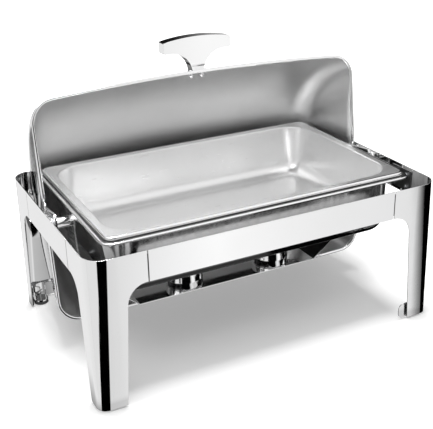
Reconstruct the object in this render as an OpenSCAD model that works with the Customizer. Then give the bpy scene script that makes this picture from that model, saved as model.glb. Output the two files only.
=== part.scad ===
// Roll-top chafing dish, opened: a bent-sheet frame on four legs, a barrel lid
// that rolls back and under on two side pivots, a water pan, a full-size food
// pan, and a hanging shelf with two fuel holders.
// Origin: centre of the footprint on the floor. X along the dish, front is -Y, Z up.

/* [Frame] */
// Outer length of the frame
frame_len = 613; // [612:1:650]
// Outer depth of the frame
frame_dep = 395; // [395:1:420]
// Height of the top edge of the rails
rail_top = 249; // [246:1:250]
// Height of the rails
rail_h = 49; // [46:1:49]
// Thickness of the frame sheet
sheet = 1.2; // [1:0.1:1.4]
// Outside radius of the leg corners
corner_r = 30; // [28:1:32]
// Distance of the front and rear seams from the middle
front_seam = 216.5; // [212:0.5:220]
// Distance of the side seams from the middle
side_seam = 104; // [100:1:108]
// Width of a leg's front wing just under the arch
wing_front_top = 56; // [53:1:57]
// Width of a leg's front wing at the floor
wing_front_low = 45; // [42:1:50]
// Width of a leg's side wing just under the arch
wing_side_top = 54; // [50:1:58]
// Width of a leg's side wing at the floor
wing_side_low = 36; // [35:1:44]
// Radius of the arch between a leg and a rail
arch_r = 32; // [26:1:35]

/* [Pivot] */
// Height of the lid's pivot axis
pivot_z = 229; // [228:1:230]
// Radius of the pivot pins
pin_r = 9; // [8:0.5:9.5]
// Radial clearance of the lid lug on its pin
run_gap = 0.05; // [0.02:0.01:0.1]

/* [Lid] */
// Opening angle of the lid, shut to fully rolled back
open_deg = 97.5; // [90:0.5:100]
// Half length of the lid at its rim
lid_half = 298; // [296:1:299]
// Radius of the barrel at the middle of its length
lid_r_mid = 193; // [190:1:193]
// Radius of the barrel at its ends
lid_r_end = 181.5; // [180:0.5:184]
// Rounding between the barrel and its ends
lid_round = 40; // [34:1:44]
// Offset of the rim plane from the pivot axis
rim_off = 28; // [26:1:30]
// Flat added over the top so the front edge overhangs
lid_shift = 9; // [6:1:10]
// Lean of the end walls
end_lean = 0.115; // [0.08:0.005:0.14]
// Thickness of the lid sheet
lid_t = 1.2; // [1:0.1:1.4]

/* [Handle] */
// Width across the bar of the handle
handle_w = 124; // [110:1:130]
// Reach of the handle from the lid
handle_reach = 64; // [56:1:68]
// Depth of the handle strap
handle_d = 20; // [16:1:22]
// Width of the stem of the handle
stem_w = 20; // [18:1:24]
// Lean of the handle towards the rim
handle_lean = 7; // [0:1:10]

/* [Pans] */
// Half length of the food pan rim, full size 1/1
food_hx = 265; // [264:0.5:265]
// Half width of the food pan rim, full size 1/1
food_hy = 162.5; // [161:0.5:162.5]
// Height of the top of the food pan rim
food_top = 263.2; // [263:0.1:264]
// Depth of the food pan
food_depth = 90; // [65:1:94]
// Half length of the water pan rim
water_hx = 272; // [271.5:0.5:273]
// Half width of the water pan rim
water_hy = 169; // [168:0.5:170]
// Height of the top of the water pan rim
water_top = 256.5; // [256.2:0.1:256.5]
// Depth of the water pan
water_depth = 105; // [102:1:108]

/* [Fuel] */
// Height of the top face of the fuel shelf
shelf_z = 68; // [66:1:69]
// Half depth of the fuel shelf
shelf_hy = 34; // [33:1:38]
// Radius of a fuel holder
cup_r = 32; // [31:0.5:32.5]
// Height of a fuel holder
cup_h = 60; // [50:1:62]
// Position of the left fuel holder along the shelf
cup_left = -74; // [-110:1:-60]
// Position of the right fuel holder along the shelf
cup_right = 98; // [60:1:110]

/* [Hidden] */
$fn = 72;

mirror_steel = [0.9, 0.9, 0.91];
satin_steel = [0.72, 0.73, 0.74];
dark_rubber = [0.2, 0.2, 0.21];
zinc = [0.62, 0.63, 0.65];

half_len = frame_len / 2;
half_dep = frame_dep / 2;
rail_low = rail_top - rail_h;
end_in = half_len - sheet; // inner face of the right end rail
fit_gap = 0.05; // between closely fitted parts
rest_gap = 0.1; // between stacked or abutting parts
screw_r = 2; // small studs, screws and rivets
screw_hole_r = 2.1;
screw_head_r = 3.8;

// ---- helpers ----
// Rectangle given as [half length, half width, corner radius].
module rounded_rect(dims) {
  half_x = dims[0];
  half_y = dims[1];
  radius = dims[2];
  translate([-half_x + radius, -half_y]) square([2 * (half_x - radius), 2 * half_y]);
  translate([-half_x, -half_y + radius]) square([2 * half_x, 2 * (half_y - radius)]);
  for (side_x = [-1, 1], side_y = [-1, 1])
    translate([side_x * (half_x - radius), side_y * (half_y - radius)]) circle(radius);
}
module rod_x(from, to, radius)
  translate([from, 0, 0]) rotate([0, 90, 0]) cylinder(r = radius, h = to - from);
module nut_x(from, to, radius) rod_x(from, to, radius, $fn = 6);
module peg(radius, height, z = 0)
  translate([0, 0, z]) cylinder(r = radius, h = height, $fn = 32);
// Children at the right end, and mirrored at the left.
module both_ends() for (flip = [0, 1]) mirror([flip, 0, 0]) children();
// Closes a right-hand half outline with its mirror image.
function mirrored(points) =
  concat(points, [for (i = [len(points) - 1 : -1 : 0]) [-points[i][0], points[i][1]]]);

// ---- frame ----
seam_gap = 0.8;
leg_z = 2; // bottom edge of the legs
wing_front_len = half_len - front_seam - seam_gap / 2;
wing_side_len = half_dep - side_seam - seam_gap / 2;
taper_h = 173; // height over which a wing widens from its low to its top width

// Children are drawn for the front left leg, outside corner at the origin.
module at_corner(side_x, side_y)
  mirror([side_x > 0 ? 1 : 0, 0, 0]) mirror([0, side_y > 0 ? 1 : 0, 0])
    translate([-half_len, -half_dep, 0]) children();
module at_all_corners() for (side_x = [-1, 1], side_y = [-1, 1]) at_corner(side_x, side_y) children();

// Waste beside a tapered wing, with a round arch tangent to the wing edge and the rail.
module wing_cut(low, top) {
  reach = 160;
  taper = (top - low) / taper_h;
  edge_len = sqrt(1 + taper * taper);
  arch_z = rail_low - arch_r;
  arch_x = low + taper * arch_z + arch_r * edge_len;
  tangent_z = arch_z + arch_r * taper / edge_len;
  polygon([[low - 2 * taper, -2], [low + taper * tangent_z, tangent_z], [arch_x, arch_z],
    [arch_x, rail_low], [reach, rail_low], [reach, -2]]);
  translate([arch_x, arch_z]) circle(arch_r, $fn = 96);
}
// Outline of an upright corner, open towards +x and +y.
module corner_2d(radius) {
  translate([radius, 0]) square([180, 180]);
  translate([0, radius]) square([180, 180]);
  translate([radius, radius]) circle(radius, $fn = 96);
}
module leg_sheet() difference() {
  translate([0, 0, leg_z]) linear_extrude(rail_top - leg_z) intersection() {
    difference() {
      corner_2d(corner_r);
      translate([sheet, sheet]) corner_2d(corner_r - sheet);
    }
    square([wing_front_len, wing_side_len]);
  }
  translate([0, 5, 0]) rotate([90, 0, 0])
    linear_extrude(10) wing_cut(wing_front_low, wing_front_top);
  translate([-5, 0, 0]) rotate([90, 0, 90])
    linear_extrude(10) wing_cut(wing_side_low, wing_side_top);
}
module leg_front_left() color(mirror_steel) at_corner(-1, -1) leg_sheet();
module leg_front_right() color(mirror_steel) at_corner(1, -1) leg_sheet();
module leg_rear_left() color(mirror_steel) at_corner(-1, 1) leg_sheet();
module leg_rear_right() color(mirror_steel) at_corner(1, 1) leg_sheet();

module long_rail() translate([-front_seam + seam_gap / 2, -half_dep, rail_low])
  cube([2 * front_seam - seam_gap, sheet, rail_h]);
module front_rail() color(mirror_steel) long_rail();
module rear_rail() color(mirror_steel) mirror([0, 1, 0]) long_rail();
module end_rail() translate([-half_len, -side_seam + seam_gap / 2, rail_low])
  cube([sheet, 2 * side_seam - seam_gap, rail_h]);
module side_rail_left() color(mirror_steel) end_rail();
module side_rail_right() color(mirror_steel) mirror([1, 0, 0]) end_rail();

// ---- seam plates ----
// Every seam is backed by a plate on weld studs.
// At a seam, x runs along the sheet and y points in.
splice_w = 52;
splice_h = 38;
splice_t = 1.5;
splice_gap = 0.04; // sheet to plate, and plate to nut
stud_half_x = 15;
stud_half_z = 11;
stud_len = 5;
module at_seams() {
  for (side_x = [-1, 1]) {
    translate([side_x * front_seam, -half_dep + sheet, 0]) children();
    translate([side_x * front_seam, half_dep - sheet, 0]) rotate([0, 0, 180]) children();
  }
  for (side_y = [-1, 1]) {
    translate([-end_in, side_y * side_seam, 0]) rotate([0, 0, -90]) children();
    translate([end_in, side_y * side_seam, 0]) rotate([0, 0, 90]) children();
  }
}
module at_studs() for (x = [-stud_half_x, stud_half_x], z = [-stud_half_z, stud_half_z])
  translate([x, 0, rail_top - rail_h / 2 + z]) rotate([-90, 0, 0]) children();
module splice_plates() color(satin_steel) at_seams() difference() {
  translate([-splice_w / 2, splice_gap, rail_top - rail_h / 2 - splice_h / 2])
    cube([splice_w, splice_t, splice_h]);
  at_studs() peg(screw_hole_r, 5, -1);
}
module splice_studs() color(zinc) at_seams() at_studs() peg(screw_r, stud_len);
module splice_nuts() color(zinc) at_seams() at_studs()
  translate([0, 0, splice_t + 2 * splice_gap]) difference() {
    cylinder(r = screw_head_r, h = 2.6, $fn = 6);
    peg(screw_r + fit_gap, 5, -1);
  }

// ---- feet ----
foot_at = 21; // pad centre from both outside faces
foot_r = 13;
pad_h = 6;
foot_wall = 3;
foot_h = 28;
// Corner bracket inside the leg, with a disc over the pad and a web into the corner.
module foot_insert() {
  inset = sheet + fit_gap;
  outer_r = corner_r - inset;
  translate([0, 0, leg_z]) linear_extrude(foot_h) {
    translate([corner_r, inset]) square([wing_front_low - corner_r - 2, foot_wall]);
    translate([inset, corner_r]) square([foot_wall, wing_side_low - corner_r - 2.5]);
    intersection() {
      translate([corner_r, corner_r]) difference() {
        circle(outer_r);
        circle(outer_r - foot_wall);
      }
      square([corner_r, corner_r]);
    }
  }
  translate([foot_at, foot_at, pad_h + fit_gap]) {
    cylinder(r = foot_r, h = 2.5);
    rotate([0, 0, 225]) translate([0, -foot_wall / 2, 0])
      cube([outer_r - 1 + (foot_at - corner_r) * sqrt(2), foot_wall, 23.9]);
  }
}
module foot_front_left() color(mirror_steel) at_corner(-1, -1) foot_insert();
module foot_front_right() color(mirror_steel) at_corner(1, -1) foot_insert();
module foot_rear_left() color(mirror_steel) at_corner(-1, 1) foot_insert();
module foot_rear_right() color(mirror_steel) at_corner(1, 1) foot_insert();
module foot_pads() color(dark_rubber) at_all_corners()
  translate([foot_at, foot_at, 0]) cylinder(r = foot_r, h = pad_h);

clip_x = 34.6;
clip_h = 26;
tab_x = 52; // where the clip's tab starts
tab_r = 9;
// Clip that shows a rounded tab past the wing, on the rear left and front right legs.
module foot_clips() color(mirror_steel) for (side = [-1, 1]) at_corner(side, -side)
  translate([0, sheet + 4.7, 2.5]) rotate([90, 0, 0]) linear_extrude(1.6) {
    translate([clip_x, 0]) square([tab_x - clip_x, clip_h]);
    translate([tab_x, tab_r]) square([tab_r, clip_h - 2 * tab_r]);
    for (z = [tab_r, clip_h - tab_r]) translate([tab_x, z]) circle(tab_r);
  }

// ---- pivots ----
lug_x = lid_half - lid_t - 0.2; // outer face of the right lug
lug_t = 3;
cradle_in = 264; // inner and outer faces of the right cradle plate
cradle_out = 266.5;
washer_t = 1.2;
washer_gap = 0.35;
bracket_t = 3;
bracket_w = 56;
bracket_off = 0.02; // bracket plate to end rail
bracket_x = end_in - bracket_off - bracket_t;
pin_end_r = 5; // reduced ends of the pin

module at_pivot() translate([0, 0, pivot_z]) children();
module hinge_bracket() difference() {
  union() {
    translate([bracket_x, -bracket_w / 2, rail_top - 41]) cube([bracket_t, bracket_w, 39]);
    at_pivot() rod_x(lug_x + washer_t + 2 * washer_gap, end_in - bracket_t, 14);
  }
  at_pivot() rod_x(half_len - 20, half_len, pin_end_r + run_gap);
  at_pivot() rod_x(lug_x, end_in - bracket_t + bracket_off, pin_r + run_gap);
}
module hinge_bracket_right() color(mirror_steel) hinge_bracket();
module hinge_bracket_left() color(mirror_steel) mirror([1, 0, 0]) hinge_bracket();
module pivot_pin() at_pivot() {
  rod_x(cradle_out + rest_gap, end_in - bracket_t - 0.05, pin_r);
  rod_x(cradle_in - 5.4, cradle_out + 0.2, pin_end_r);
  rod_x(end_in - bracket_t - 0.1, end_in - rest_gap, pin_end_r);
}
module pivot_pin_right() color(mirror_steel) pivot_pin();
module pivot_pin_left() color(mirror_steel) mirror([1, 0, 0]) pivot_pin();
// One washer on each side of each lug.
module pivot_washers() color(zinc) both_ends() at_pivot()
  for (x = [lug_x + washer_gap, lug_x - lug_t - washer_gap - washer_t]) difference() {
    rod_x(x, x + washer_t, 13);
    rod_x(x - 1, x + 3, pin_r + run_gap);
  }
module pivot_nuts() color(zinc) both_ends() at_pivot() difference() {
  nut_x(cradle_in - 4.5, cradle_in - fit_gap, 9.5);
  rod_x(cradle_in - 8, cradle_in + 1, pin_end_r + run_gap);
}

// ---- cradle and fuel shelf ----
pan_t = 1.2; // sheet of both pans
ledge_z = water_top - pan_t - rest_gap; // top of the ledge under the water pan rim
ledge_x = 257.6;
ledge_t = 2;
cradle_hy = 62;
cradle_low = 142; // bottom of the cradle plate, where the shelf ramp ends
// Right half of the cradle plate from the top down: [y, z].
cradle_half = [
  [cradle_hy, ledge_z], [cradle_hy, 246], [20, 238], [17, 222], [17, 213],
  [25, 187], [shelf_hy, 160], [shelf_hy, cradle_low]];
module at_shelf_screws() for (y = [-24, 24]) translate([0, y, 152]) children();
// Hanging end plate: carries the water pan rim on its ledge and the fuel shelf at its foot.
module cradle_end() difference() {
  union() {
    translate([cradle_in, 0, 0]) rotate([90, 0, 90])
      linear_extrude(cradle_out - cradle_in) polygon(mirrored(cradle_half));
    translate([ledge_x, -cradle_hy, ledge_z - ledge_t])
      cube([cradle_out - ledge_x, 2 * cradle_hy, ledge_t]);
  }
  at_pivot() rod_x(cradle_in - 5, cradle_out + 5, pin_end_r + run_gap);
  at_shelf_screws() rod_x(cradle_in - 5, cradle_out + 5, screw_hole_r);
}
module cradle_end_right() color(satin_steel) cradle_end();
module cradle_end_left() color(satin_steel) mirror([1, 0, 0]) cradle_end();

shelf_t = 1.2;
shelf_flat = 172; // half length of the flat underside
shelf_end = cradle_in - rest_gap;
shelf_in = shelf_end - shelf_t;
shelf_up = 162; // top of the upright ends
ramp_slope = (cradle_low - shelf_z) / (shelf_end - shelf_flat);
ramp_rise = shelf_t * sqrt(1 + ramp_slope * ramp_slope); // ramp thickness measured upright
ramp_z = cradle_low - shelf_t; // underside of the ramp at its outer end
// Right half of the bent strip: [x, z].
shelf_half = [
  [shelf_flat, shelf_z - shelf_t], [shelf_end, ramp_z], [shelf_end, shelf_up],
  [shelf_in, shelf_up], [shelf_in, ramp_z - ramp_slope * shelf_t + ramp_rise],
  [shelf_flat - (ramp_rise - shelf_t) / ramp_slope, shelf_z]];
module fuel_shelf() color(mirror_steel) difference() {
  translate([0, shelf_hy, 0]) rotate([90, 0, 0])
    linear_extrude(2 * shelf_hy) polygon(mirrored(shelf_half));
  both_ends() at_shelf_screws() rod_x(cradle_in - 5, cradle_in + 5, screw_hole_r);
}
module shelf_screws() color(zinc) both_ends() at_shelf_screws() {
  rod_x(cradle_in - 6, cradle_out + 0.1, screw_r);
  rod_x(cradle_out + fit_gap, cradle_out + 2.2, screw_head_r);
}
module shelf_nuts() color(zinc) both_ends() at_shelf_screws() difference() {
  nut_x(shelf_in - 3.1, shelf_in - fit_gap, 4);
  rod_x(shelf_in - 4, shelf_end, screw_r + fit_gap);
}

// ---- lid ----
// The lid is drawn shut about its pivot axis, then rolled back.
// Its profile is [radius, x]: a gentle crown along the length, rounded at each end.
// In the profile functions and modules, grow moves the surface outwards.
crown = lid_r_mid - lid_r_end;
function crown_r(x) = lid_r_end + crown * (1 - (x / lid_half) * (x / lid_half));
crown_end = lid_half - lid_round + 2.6; // x where the crown meets the rounding
crown_slope = atan(2 * crown * crown_end / (lid_half * lid_half));
round_x = lid_half - lid_round; // centre of the rounding
round_r = crown_r(crown_end) - lid_round * cos(crown_slope);
crown_steps = 7;
round_steps = 9;
function half_profile(grow) = concat(
  [for (i = [0 : crown_steps - 1])
    let(x = crown_end * i / crown_steps) [crown_r(x) + grow, x]],
  [for (i = [0 : round_steps])
    let(angle = (90 - crown_slope) * (1 - i / round_steps), radius = lid_round + grow)
    [round_r + radius * sin(angle), round_x + radius * cos(angle)]]);
function full_profile(grow) = let(half = half_profile(grow)) concat(
  [[0, -lid_half - grow]],
  [for (i = [len(half) - 1 : -1 : 1]) [half[i][0], -half[i][1]]],
  half,
  [[0, lid_half + grow]]);
// Rear quarter, front quarter moved forward by lid_shift, and the flat between them.
module barrel(grow) {
  rotate([0, 90, 0]) rotate([0, 0, 90])
    rotate_extrude(angle = 90, $fn = 144) polygon(full_profile(grow));
  translate([0, -lid_shift, 0]) rotate([0, 90, 0]) rotate([0, 0, 180])
    rotate_extrude(angle = 90, $fn = 144) polygon(full_profile(grow));
  rotate([90, 0, 0]) linear_extrude(lid_shift)
    polygon([for (point = full_profile(grow)) [point[1], point[0]]]);
}
// Block between the leaning end walls.
module end_wedge(grow) {
  below = 20;
  above = 232;
  translate([0, 260, 0]) rotate([90, 0, 0]) linear_extrude(520) polygon(mirrored([
    [lid_half + grow + end_lean * below, rim_off - below],
    [lid_half + grow - end_lean * above, rim_off + above]]));
}
// Outline of the barrel in the rim plane: [x, y], rear edge then front edge.
function rim_line(grow) =
  let(profile = full_profile(grow),
    rear = [for (i = [1 : len(profile) - 2])
      [profile[i][1], sqrt(profile[i][0] * profile[i][0] - rim_off * rim_off)]])
  concat(rear, [for (i = [len(rear) - 1 : -1 : 0]) [rear[i][0], -rear[i][1] - lid_shift]]);

module rolled_back() at_pivot() rotate([-open_deg, 0, 0]) children();
lug_rivet_at = [[-12, 44], [12, 44], [0, 60]]; // [y, height above the pivot]
// Children stand on the inner face of the right end wall, z pointing out.
module at_lug_rivets() for (spot = lug_rivet_at)
  translate([lid_half - lid_t - end_lean * (spot[1] - rim_off), spot[0], spot[1]])
    rotate([0, 90 - atan(end_lean), 0]) children();
handle_stud_r = 2.5;
handle_stud_deg = 17.5; // rise of the studs above the pivot plane
// Children stand on the outer face of the front wall, z pointing out.
module at_handle_studs() for (x = [-10, 10])
  translate([x, -lid_shift, 0]) rotate([90 - handle_stud_deg, 0, 0])
    translate([0, 0, lid_r_mid]) children();

notch_d = 6; // the rim lip stops beside the lugs
notch_w = 48;
module rim_lip() difference() {
  translate([0, 0, rim_off - 2.5]) linear_extrude(5) difference() {
    polygon(rim_line(1));
    polygon(rim_line(-4));
  }
  both_ends() translate([lid_half - lid_t - notch_d, -notch_w / 2, rim_off - 4])
    cube([notch_d, notch_w, 8]);
}
module lid_shell() color(mirror_steel) rolled_back() difference() {
  union() {
    difference() {
      intersection() {
        barrel(0);
        end_wedge(0);
        translate([-320, -230, rim_off]) cube([640, 460, 200]);
      }
      intersection() {
        barrel(-lid_t);
        end_wedge(-lid_t);
      }
    }
    rim_lip();
  }
  both_ends() at_lug_rivets() peg(screw_r + fit_gap, 8, -3);
  at_handle_studs() peg(2.75, 14, -8);
}

// Plate riveted inside the end wall: upright at the pin, leaning above the rim.
module lug() {
  low = -26;
  rise = 42;
  lean_x = lug_x - end_lean * rise;
  difference() {
    intersection() {
      translate([0, 22, 0]) rotate([90, 0, 0]) linear_extrude(44) polygon([
        [lug_x, low], [lug_x, rim_off], [lean_x, rim_off + rise],
        [lean_x - lug_t, rim_off + rise], [lug_x - lug_t, rim_off], [lug_x - lug_t, low]]);
      translate([lug_x - 20, 0, 22]) rotate([90, 0, 90])
        linear_extrude(30) rounded_rect([21, 46, 7]);
    }
    rod_x(lug_x - 10, lug_x + 5, pin_r + run_gap);
    at_lug_rivets() peg(screw_r + fit_gap, 12, -8);
  }
}
module lid_lug_right() color(mirror_steel) rolled_back() lug();
module lid_lug_left() color(mirror_steel) rolled_back() mirror([1, 0, 0]) lug();
// Shank with a tapered head at each end.
module lug_rivets() color(zinc) rolled_back() both_ends() at_lug_rivets() {
  peg(screw_r, 5.2, -3.6);
  translate([0, 0, 1.25]) cylinder(r1 = 4, r2 = 2.6, h = 1.4, $fn = 32);
  translate([0, 0, -4.9]) cylinder(r1 = 2.8, r2 = 4, h = 1.4, $fn = 32);
}

// ---- handle ----
// T-shaped: an arched bar swept down into a stem, on a foot that fits the barrel.
seat_z = 58; // height of the handle above the pivot, lid shut
seat_y = -lid_shift - sqrt(lid_r_mid * lid_r_mid - seat_z * seat_z);
sweep_r = handle_reach - 25; // hollow between the stem and the bar
bar_bow = 6; // rise of the bar's arc over its width
bow_r = (handle_w * handle_w / 4 + bar_bow * bar_bow) / (2 * bar_bow);
handle_foot_w = 34;
module handle_2d() difference() {
  intersection() {
    translate([-handle_w / 2, -handle_reach - 2]) square([handle_w, handle_reach + 12]);
    translate([0, bow_r - handle_reach]) circle(bow_r, $fn = 144);
  }
  for (side = [-1, 1]) {
    translate([side * (stem_w / 2 + sweep_r), 0]) circle(sweep_r, $fn = 96);
    translate([side * (stem_w / 2 + sweep_r + 20) - 20, -sweep_r]) square([40, sweep_r + 20]);
    translate([side * (stem_w / 2 + 30) - 30, 0]) square([60, 20]);
  }
}
module front_barrel(radius) translate([-80, -lid_shift, 0]) rotate([0, 90, 0])
  cylinder(r = radius, h = 160, $fn = 144);
module lid_handle() color(mirror_steel) rolled_back() difference() {
  union() {
    translate([0, seat_y, seat_z]) rotate([handle_lean, 0, 0])
      translate([0, 0, -handle_d / 2]) linear_extrude(handle_d) handle_2d();
    intersection() {
      translate([-handle_foot_w / 2, seat_y - 20, seat_z - handle_d / 2])
        cube([handle_foot_w, 40, handle_d]);
      front_barrel(lid_r_mid + 4);
    }
  }
  front_barrel(lid_r_mid + fit_gap);
  at_handle_studs() peg(handle_stud_r + fit_gap, 8.6, -5);
}
module handle_studs() color(zinc) rolled_back() at_handle_studs() peg(handle_stud_r, 9.4, -6);
module handle_washers() color(zinc) rolled_back() at_handle_studs() difference() {
  translate([0, 0, -lid_t - 1.2]) cylinder(r = 5.2, h = 1, $fn = 48);
  peg(handle_stud_r + 0.1, 14, -8);
}
module handle_cap_nuts() color(mirror_steel) rolled_back() at_handle_studs() difference() {
  union() {
    translate([0, 0, -lid_t - 4.9]) cylinder(r = 4.6, h = 3.6, $fn = 6);
    translate([0, 0, -lid_t - 7.3]) cylinder(r1 = 2, r2 = 3.8, h = 2.45, $fn = 48);
  }
  peg(handle_stud_r + fit_gap, 14, -6.1);
}

// ---- pans ----
// rim, mouth and base are each [half length, half width, corner radius].
bead_w = 4.5; // width of the turned-down rim edge
// Straight drafted walls between a rounded mouth and a filleted floor.
module pan_form(mouth, top_z, base, floor_z, grow) hull() {
  for (side_x = [-1, 1], side_y = [-1, 1]) {
    translate([side_x * (mouth[0] - mouth[2]), side_y * (mouth[1] - mouth[2]), top_z - 1])
      cylinder(r = mouth[2] + grow, h = 1, $fn = 48);
    translate([side_x * (base[0] - base[2]), side_y * (base[1] - base[2]), floor_z + base[2]])
      sphere(r = base[2] + grow, $fn = 32);
  }
}
module pan(rim, mouth, base, top_z, depth, bead_h) {
  difference() {
    union() {
      pan_form(mouth, top_z - 0.2, base, top_z - depth, pan_t);
      translate([0, 0, top_z - pan_t]) linear_extrude(pan_t) rounded_rect(rim);
    }
    pan_form(mouth, top_z + 1, base, top_z - depth, 0);
  }
  translate([0, 0, top_z - bead_h]) linear_extrude(bead_h) difference() {
    rounded_rect(rim);
    rounded_rect(rim - bead_w * [1, 1, 1]);
  }
}
module food_pan() color(satin_steel) pan(
  rim = [food_hx, food_hy, 16], mouth = [249, 147, 46], base = [241, 139, 24],
  top_z = food_top, depth = food_depth, bead_h = food_top - water_top - rest_gap);
module water_pan() color(mirror_steel) pan(
  rim = [water_hx, water_hy, 20], mouth = [255.5, 153.5, 48], base = [247, 145, 26],
  top_z = water_top, depth = water_depth, bead_h = 4.4);

// ---- fuel holders ----
cup_y = -1;
cup_t = 1.2; // sheet of holder, cover and damper
cup_z = shelf_z + rest_gap;
cup_top = cup_z + cup_h;
hinge_y = 25.5; // damper rivet from the holder's axis
damper_tab_y = -32;
module at_cup(x) translate([x, cup_y, 0]) children();
module cup() translate([0, 0, cup_z]) rotate_extrude() polygon([
  [0, 0], [cup_r - 2, 0], [cup_r, 2], [cup_r, cup_h], [cup_r - cup_t, cup_h],
  [cup_r - cup_t, 2.6], [cup_r - 2.6, cup_t], [0, cup_t]]);
// Plate on the right of the holder, with a looped grip standing out of it.
module grip() translate([cup_r + fit_gap, 0, shelf_z + 38]) {
  translate([0, -6, -9]) cube([1.4, 12, 18]);
  translate([0.7, 2.5, 0]) rotate([90, 0, 0]) linear_extrude(5) difference() {
    union() {
      translate([0, -5]) square([8, 10]);
      translate([8, 0]) circle(5);
    }
    translate([1, -2.8]) square([7, 5.6]);
    translate([8, 0]) circle(2.8);
  }
}
// Disc with a skirt inside the holder and a round opening.
module cover() difference() {
  translate([0, 0, cup_top + rest_gap]) union() {
    cylinder(r = cup_r + 0.8, h = cup_t);
    translate([0, 0, -5]) difference() {
      cylinder(r = cup_r - 1.4, h = 5.1);
      translate([0, 0, -1]) cylinder(r = cup_r - 2.4, h = 8);
    }
  }
  translate([0, 0, cup_top - 2]) cylinder(r = 18, h = 6);
  translate([0, hinge_y, cup_top - 2]) peg(screw_r + run_gap, 6);
}
// Disc over the opening, riveted at the rear, with a tab at the front.
module damper() translate([0, 0, cup_top + cup_t + 2 * rest_gap]) difference() {
  linear_extrude(cup_t) {
    circle(20);
    translate([-5, 10]) square([10, hinge_y - 10]);
    translate([0, hinge_y]) circle(5);
    translate([-4, damper_tab_y]) square([8, 20]);
    translate([0, damper_tab_y]) circle(4);
  }
  translate([0, hinge_y, 0]) peg(screw_r + run_gap, 4, -1);
}
module damper_rivet() translate([0, hinge_y, cup_top]) {
  peg(screw_r, 4.8, -1.2);
  peg(3.4, 1.3, -1.3);
  translate([0, 0, 2.75]) cylinder(r1 = 3.6, r2 = 2.4, h = 1.3, $fn = 32);
}
module fuel_holder_left() color(mirror_steel) at_cup(cup_left) cup();
module fuel_holder_right() color(mirror_steel) at_cup(cup_right) cup();
module holder_grip_left() color(mirror_steel) at_cup(cup_left) grip();
module holder_grip_right() color(mirror_steel) at_cup(cup_right) grip();
module fuel_cover_left() color(mirror_steel) at_cup(cup_left) cover();
module fuel_cover_right() color(mirror_steel) at_cup(cup_right) cover();
module damper_left() color(satin_steel) at_cup(cup_left) damper();
module damper_right() color(satin_steel) at_cup(cup_right) damper();
module damper_rivet_left() color(zinc) at_cup(cup_left) damper_rivet();
module damper_rivet_right() color(zinc) at_cup(cup_right) damper_rivet();

leg_front_left();
leg_front_right();
leg_rear_left();
leg_rear_right();
front_rail();
rear_rail();
side_rail_left();
side_rail_right();
splice_plates();
splice_studs();
splice_nuts();
foot_front_left();
foot_front_right();
foot_rear_left();
foot_rear_right();
foot_pads();
foot_clips();
hinge_bracket_left();
hinge_bracket_right();
pivot_pin_left();
pivot_pin_right();
pivot_washers();
pivot_nuts();
cradle_end_left();
cradle_end_right();
fuel_shelf();
shelf_screws();
shelf_nuts();
lid_shell();
lid_lug_left();
lid_lug_right();
lug_rivets();
lid_handle();
handle_studs();
handle_washers();
handle_cap_nuts();
water_pan();
food_pan();
fuel_holder_left();
holder_grip_left();
fuel_cover_left();
damper_left();
damper_rivet_left();
fuel_holder_right();
holder_grip_right();
fuel_cover_right();
damper_right();
damper_rivet_right();
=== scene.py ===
"""Roll-top chafing dish with the lid standing open.

The dish stands on the floor at z = 0, long side along x: front at -y, rear at +y, left at -x.
Meshes are built in millimetres and scaled to metres. Lid pieces are built in the lid's own
frame (x along the pivot axis, y to the rear and z up with the lid shut) and rolled open.
"""

import math
import bpy
import bmesh
from mathutils import Matrix, Vector

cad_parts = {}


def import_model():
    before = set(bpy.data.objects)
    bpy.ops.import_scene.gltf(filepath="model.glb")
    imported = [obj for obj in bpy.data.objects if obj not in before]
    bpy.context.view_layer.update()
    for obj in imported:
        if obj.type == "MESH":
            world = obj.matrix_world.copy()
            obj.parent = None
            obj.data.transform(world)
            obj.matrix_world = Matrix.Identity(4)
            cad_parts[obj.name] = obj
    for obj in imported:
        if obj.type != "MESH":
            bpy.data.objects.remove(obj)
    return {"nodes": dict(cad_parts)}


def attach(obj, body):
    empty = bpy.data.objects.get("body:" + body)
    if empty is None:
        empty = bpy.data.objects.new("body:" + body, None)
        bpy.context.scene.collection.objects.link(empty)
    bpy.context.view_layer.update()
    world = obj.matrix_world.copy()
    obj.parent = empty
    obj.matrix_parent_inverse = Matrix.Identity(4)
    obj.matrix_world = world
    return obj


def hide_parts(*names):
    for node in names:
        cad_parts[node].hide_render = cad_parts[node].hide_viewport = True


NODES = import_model()["nodes"]
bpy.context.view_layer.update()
scene = bpy.context.scene
MM = 0.001

# ---- sizes, in millimetres --------------------------------------------------------
HALF_LENGTH, HALF_DEPTH = 306.5, 197.5  # outside of the frame

# legs
RAIL_TOP, RAIL_LOW = 249.0, 200.0
LEG_BOTTOM = 2.0
LEG_SHEET = 1.2
CORNER_TOP_R, CORNER_LOW_R = 30.0, 17.0
ARCH_R = 32.0  # arch between a leg wing and the rail above it
FRONT_SEAM, SIDE_SEAM = 216.5, 104.0  # seams between leg and rail, from the centre
SEAM_GAP = 0.8
SEAM_BACK = 0.6  # the leg sheet stops this much short of the gap
FRONT_WING = (45.0, 56.0)  # wing width at z = 0 and after LEAN_HEIGHT
SIDE_WING = (36.0, 54.0)
LEAN_HEIGHT = 173.0

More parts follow.
